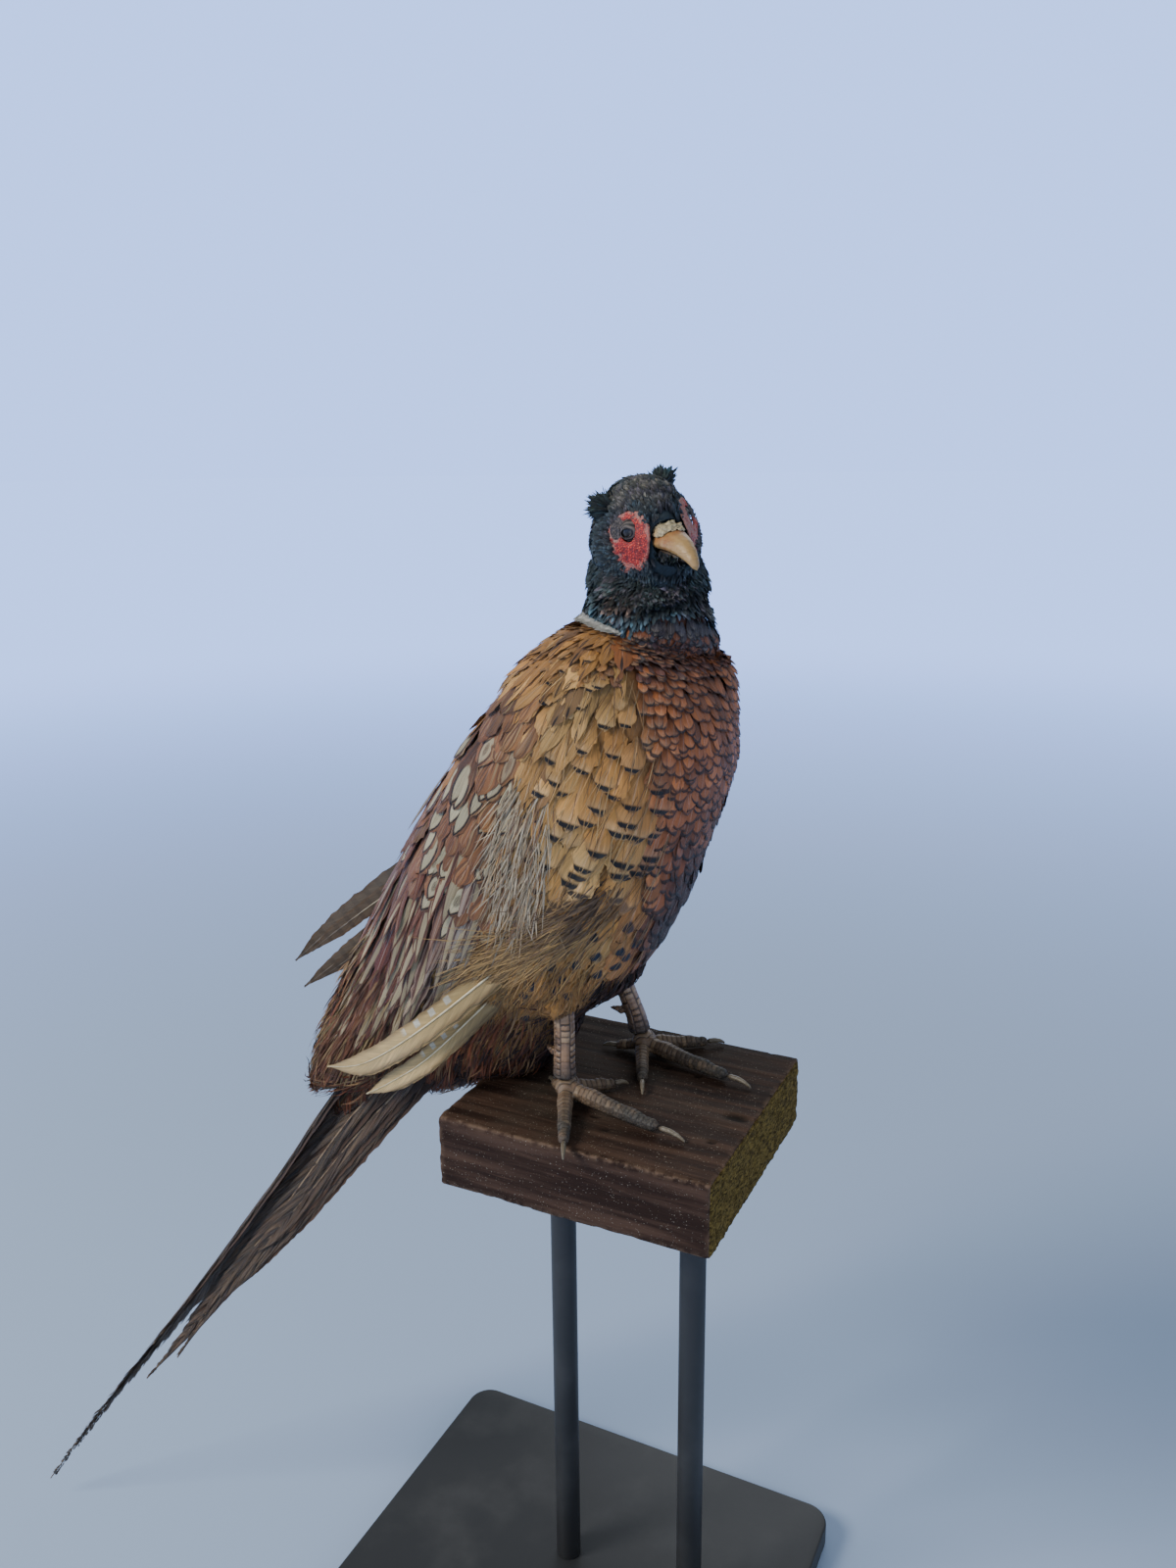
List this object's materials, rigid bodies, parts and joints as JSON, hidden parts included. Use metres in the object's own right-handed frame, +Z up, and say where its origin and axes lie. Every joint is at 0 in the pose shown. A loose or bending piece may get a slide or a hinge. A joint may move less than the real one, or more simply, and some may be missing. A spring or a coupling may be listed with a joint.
{
  "type": "taxidermy pheasant",
  "caption": "Taxidermy cock pheasant standing on a sawn dark wood block, long tail hanging behind, carried by a plain display stand.",
  "frame": {"origin": "centre of the stand base's underside between the two rods, under the middle of the wood block", "axes": "+Z up, +X the way the body and toes face, +Y the bird's left"},
  "size_m": [0.454, 0.19, 0.6379],
  "materials": {
    "head_feather": "glossy blue-green black head feathers",
    "neck_feather": "blue-black neck feathers over a part white collar",
    "body_feather": "golden buff to maroon body feathers with black tips",
    "vent_feather": "loose rusty brown plumes",
    "wing_feather": "chestnut and cream wing coverts",
    "quill": "pale straw flight feathers with brown bars",
    "tail_feather": "grey-brown tail feathers with dark bars",
    "wattle": "red granular bare skin",
    "horn": "satin tan horn",
    "cere": "flaky yellowish white skin",
    "eye": "polished dark glass eye",
    "leg": "satin scaled brown skin",
    "claw": "pale horn",
    "timber": "rough dark stained timber, sawn",
    "stand": "satin dark grey paint"
  },
  "bodies": {
    "root": {"base_block": "timber", "belly": "body_feather", "bill_lower": "horn", "bill_upper": "horn", "breast": "body_feather", "cere": "cere", "claw_left_hind": "claw", "claw_left_inner": "claw", "claw_left_middle": "claw", "claw_left_outer": "claw", "claw_right_hind": "claw", "claw_right_inner": "claw", "claw_right_middle": "claw", "claw_right_outer": "claw", "ear_tuft_left": "head_feather", "ear_tuft_right": "head_feather", "eye_left": "eye", "eye_right": "eye", "foot_left": "leg", "foot_right": "leg", "head": "head_feather", "neck": "neck_feather", "primary_left_1": "quill", "primary_left_2": "quill", "primary_right_1": "quill", "primary_right_2": "quill", "rump": "vent_feather", "shank_left": "leg", "shank_right": "leg", "stand_base": "stand", "stand_rod_back": "stand", "stand_rod_front": "stand", "tail_central": "tail_feather", "tail_coverts": "tail_feather", "tail_left": "tail_feather", "tail_right": "tail_feather", "thigh_left": "body_feather", "thigh_right": "body_feather", "vent_plumes": "vent_feather", "wattle_left": "wattle", "wattle_right": "wattle", "wing_left": "wing_feather", "wing_right": "wing_feather"}
  },
  "joints": []
}
